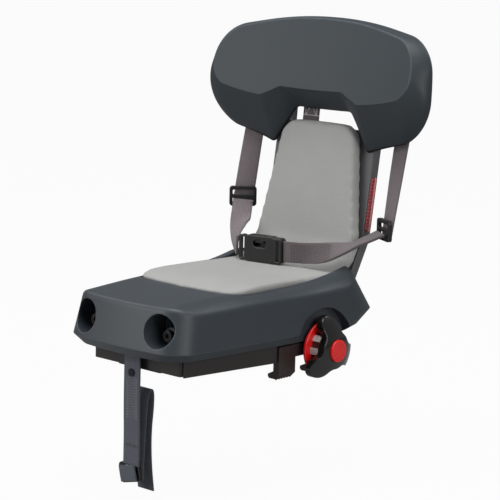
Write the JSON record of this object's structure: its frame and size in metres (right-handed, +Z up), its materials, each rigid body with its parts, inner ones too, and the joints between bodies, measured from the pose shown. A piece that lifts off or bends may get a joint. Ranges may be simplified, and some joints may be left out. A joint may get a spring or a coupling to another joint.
{
  "type": "child bike seat",
  "caption": "Child seat for a bicycle luggage carrier, with a foam pad, winged headrest, lap harness, screw clamp with a lobed knob and a hanging safety strap.",
  "frame": {"origin": "on the plane where the seat rests on the carrier, under the middle of the clamp spindle", "axes": "+Z up, away from the carrier; -Y is the way the seat faces; +X to the side with the knob"},
  "size_m": [0.341, 0.3749, 0.5256],
  "materials": {
    "shell": "fine matt texture",
    "headrest": "fine matt texture",
    "pad": "closed-cell foam, matt",
    "frame": "satin",
    "base": "satin",
    "jaw": "satin",
    "rubber": "matt",
    "webbing": "woven",
    "strap": "woven",
    "hardware": "gloss",
    "knob": "gloss",
    "red": "gloss",
    "reflector": "reflector with prisms",
    "steel": "plain steel"
  },
  "bodies": {
    "seat": {"seat_shell": "shell", "front_bolts": "hardware", "seat_pad": "pad", "back_frame": "frame", "reflector_right": "reflector", "reflector_left": "reflector", "headrest_shell": "headrest", "headrest_cover": "frame", "headrest_screws": "steel", "base_tray": "base", "side_rail_right": "base", "side_rail_left": "base", "front_foot": "rubber", "base_screws": "steel", "frame_screws": "steel", "clamp_plate": "steel", "carrier_mat": "rubber", "plate_screws": "steel", "slider_right": "hardware", "slider_left": "hardware", "shoulder_strap_right": "webbing", "shoulder_strap_left": "webbing", "waist_strap_right": "webbing", "waist_strap_left": "webbing", "buckle_female": "hardware", "buckle_male": "hardware", "back_strap": "webbing", "strap_screws": "steel", "safety_strap": "strap", "safety_screw": "steel", "safety_rivet": "steel", "safety_buckle": "hardware", "safety_tail": "strap"},
    "knob": {"clamp_spindle": "steel", "spindle_collars": "steel", "knob_flange": "red", "knob_drum": "knob", "knob_cap": "knob", "knob_nut": "steel", "button_spring": "steel"},
    "button": {"lock_button": "red"},
    "jaw_r": {"jaw_right": "jaw", "jaw_nut_right": "steel"},
    "jaw_l": {"jaw_left": "jaw", "jaw_nut_left": "steel"}
  },
  "joints": [
    {"name": "knob_turn", "type": "hinge", "parent": "seat", "child": "knob", "pos_m": [0, 0, 0.0115], "axis": [1, 0, 0], "range_deg": [-1730, 362]},
    {"name": "button_press", "type": "slide", "parent": "knob", "child": "button", "axis": [-1, 0, 0], "range_m": [0, 0.003], "stiffness_N_per_m": 400, "deforming": ["button_spring"]},
    {"name": "jaw_right_slide", "type": "slide", "parent": "seat", "child": "jaw_r", "axis": [1, 0, 0], "range_m": [-0.024, 0.005]},
    {"name": "jaw_left_slide", "type": "slide", "parent": "seat", "child": "jaw_l", "axis": [-1, 0, 0], "range_m": [-0.024, 0.005]}
  ],
  "couplings": [
    {"joint": "knob_turn", "follows": "jaw_right_slide", "rad_per_m": 1256.6},
    {"joint": "jaw_left_slide", "follows": "jaw_right_slide", "ratio": 1}
  ]
}
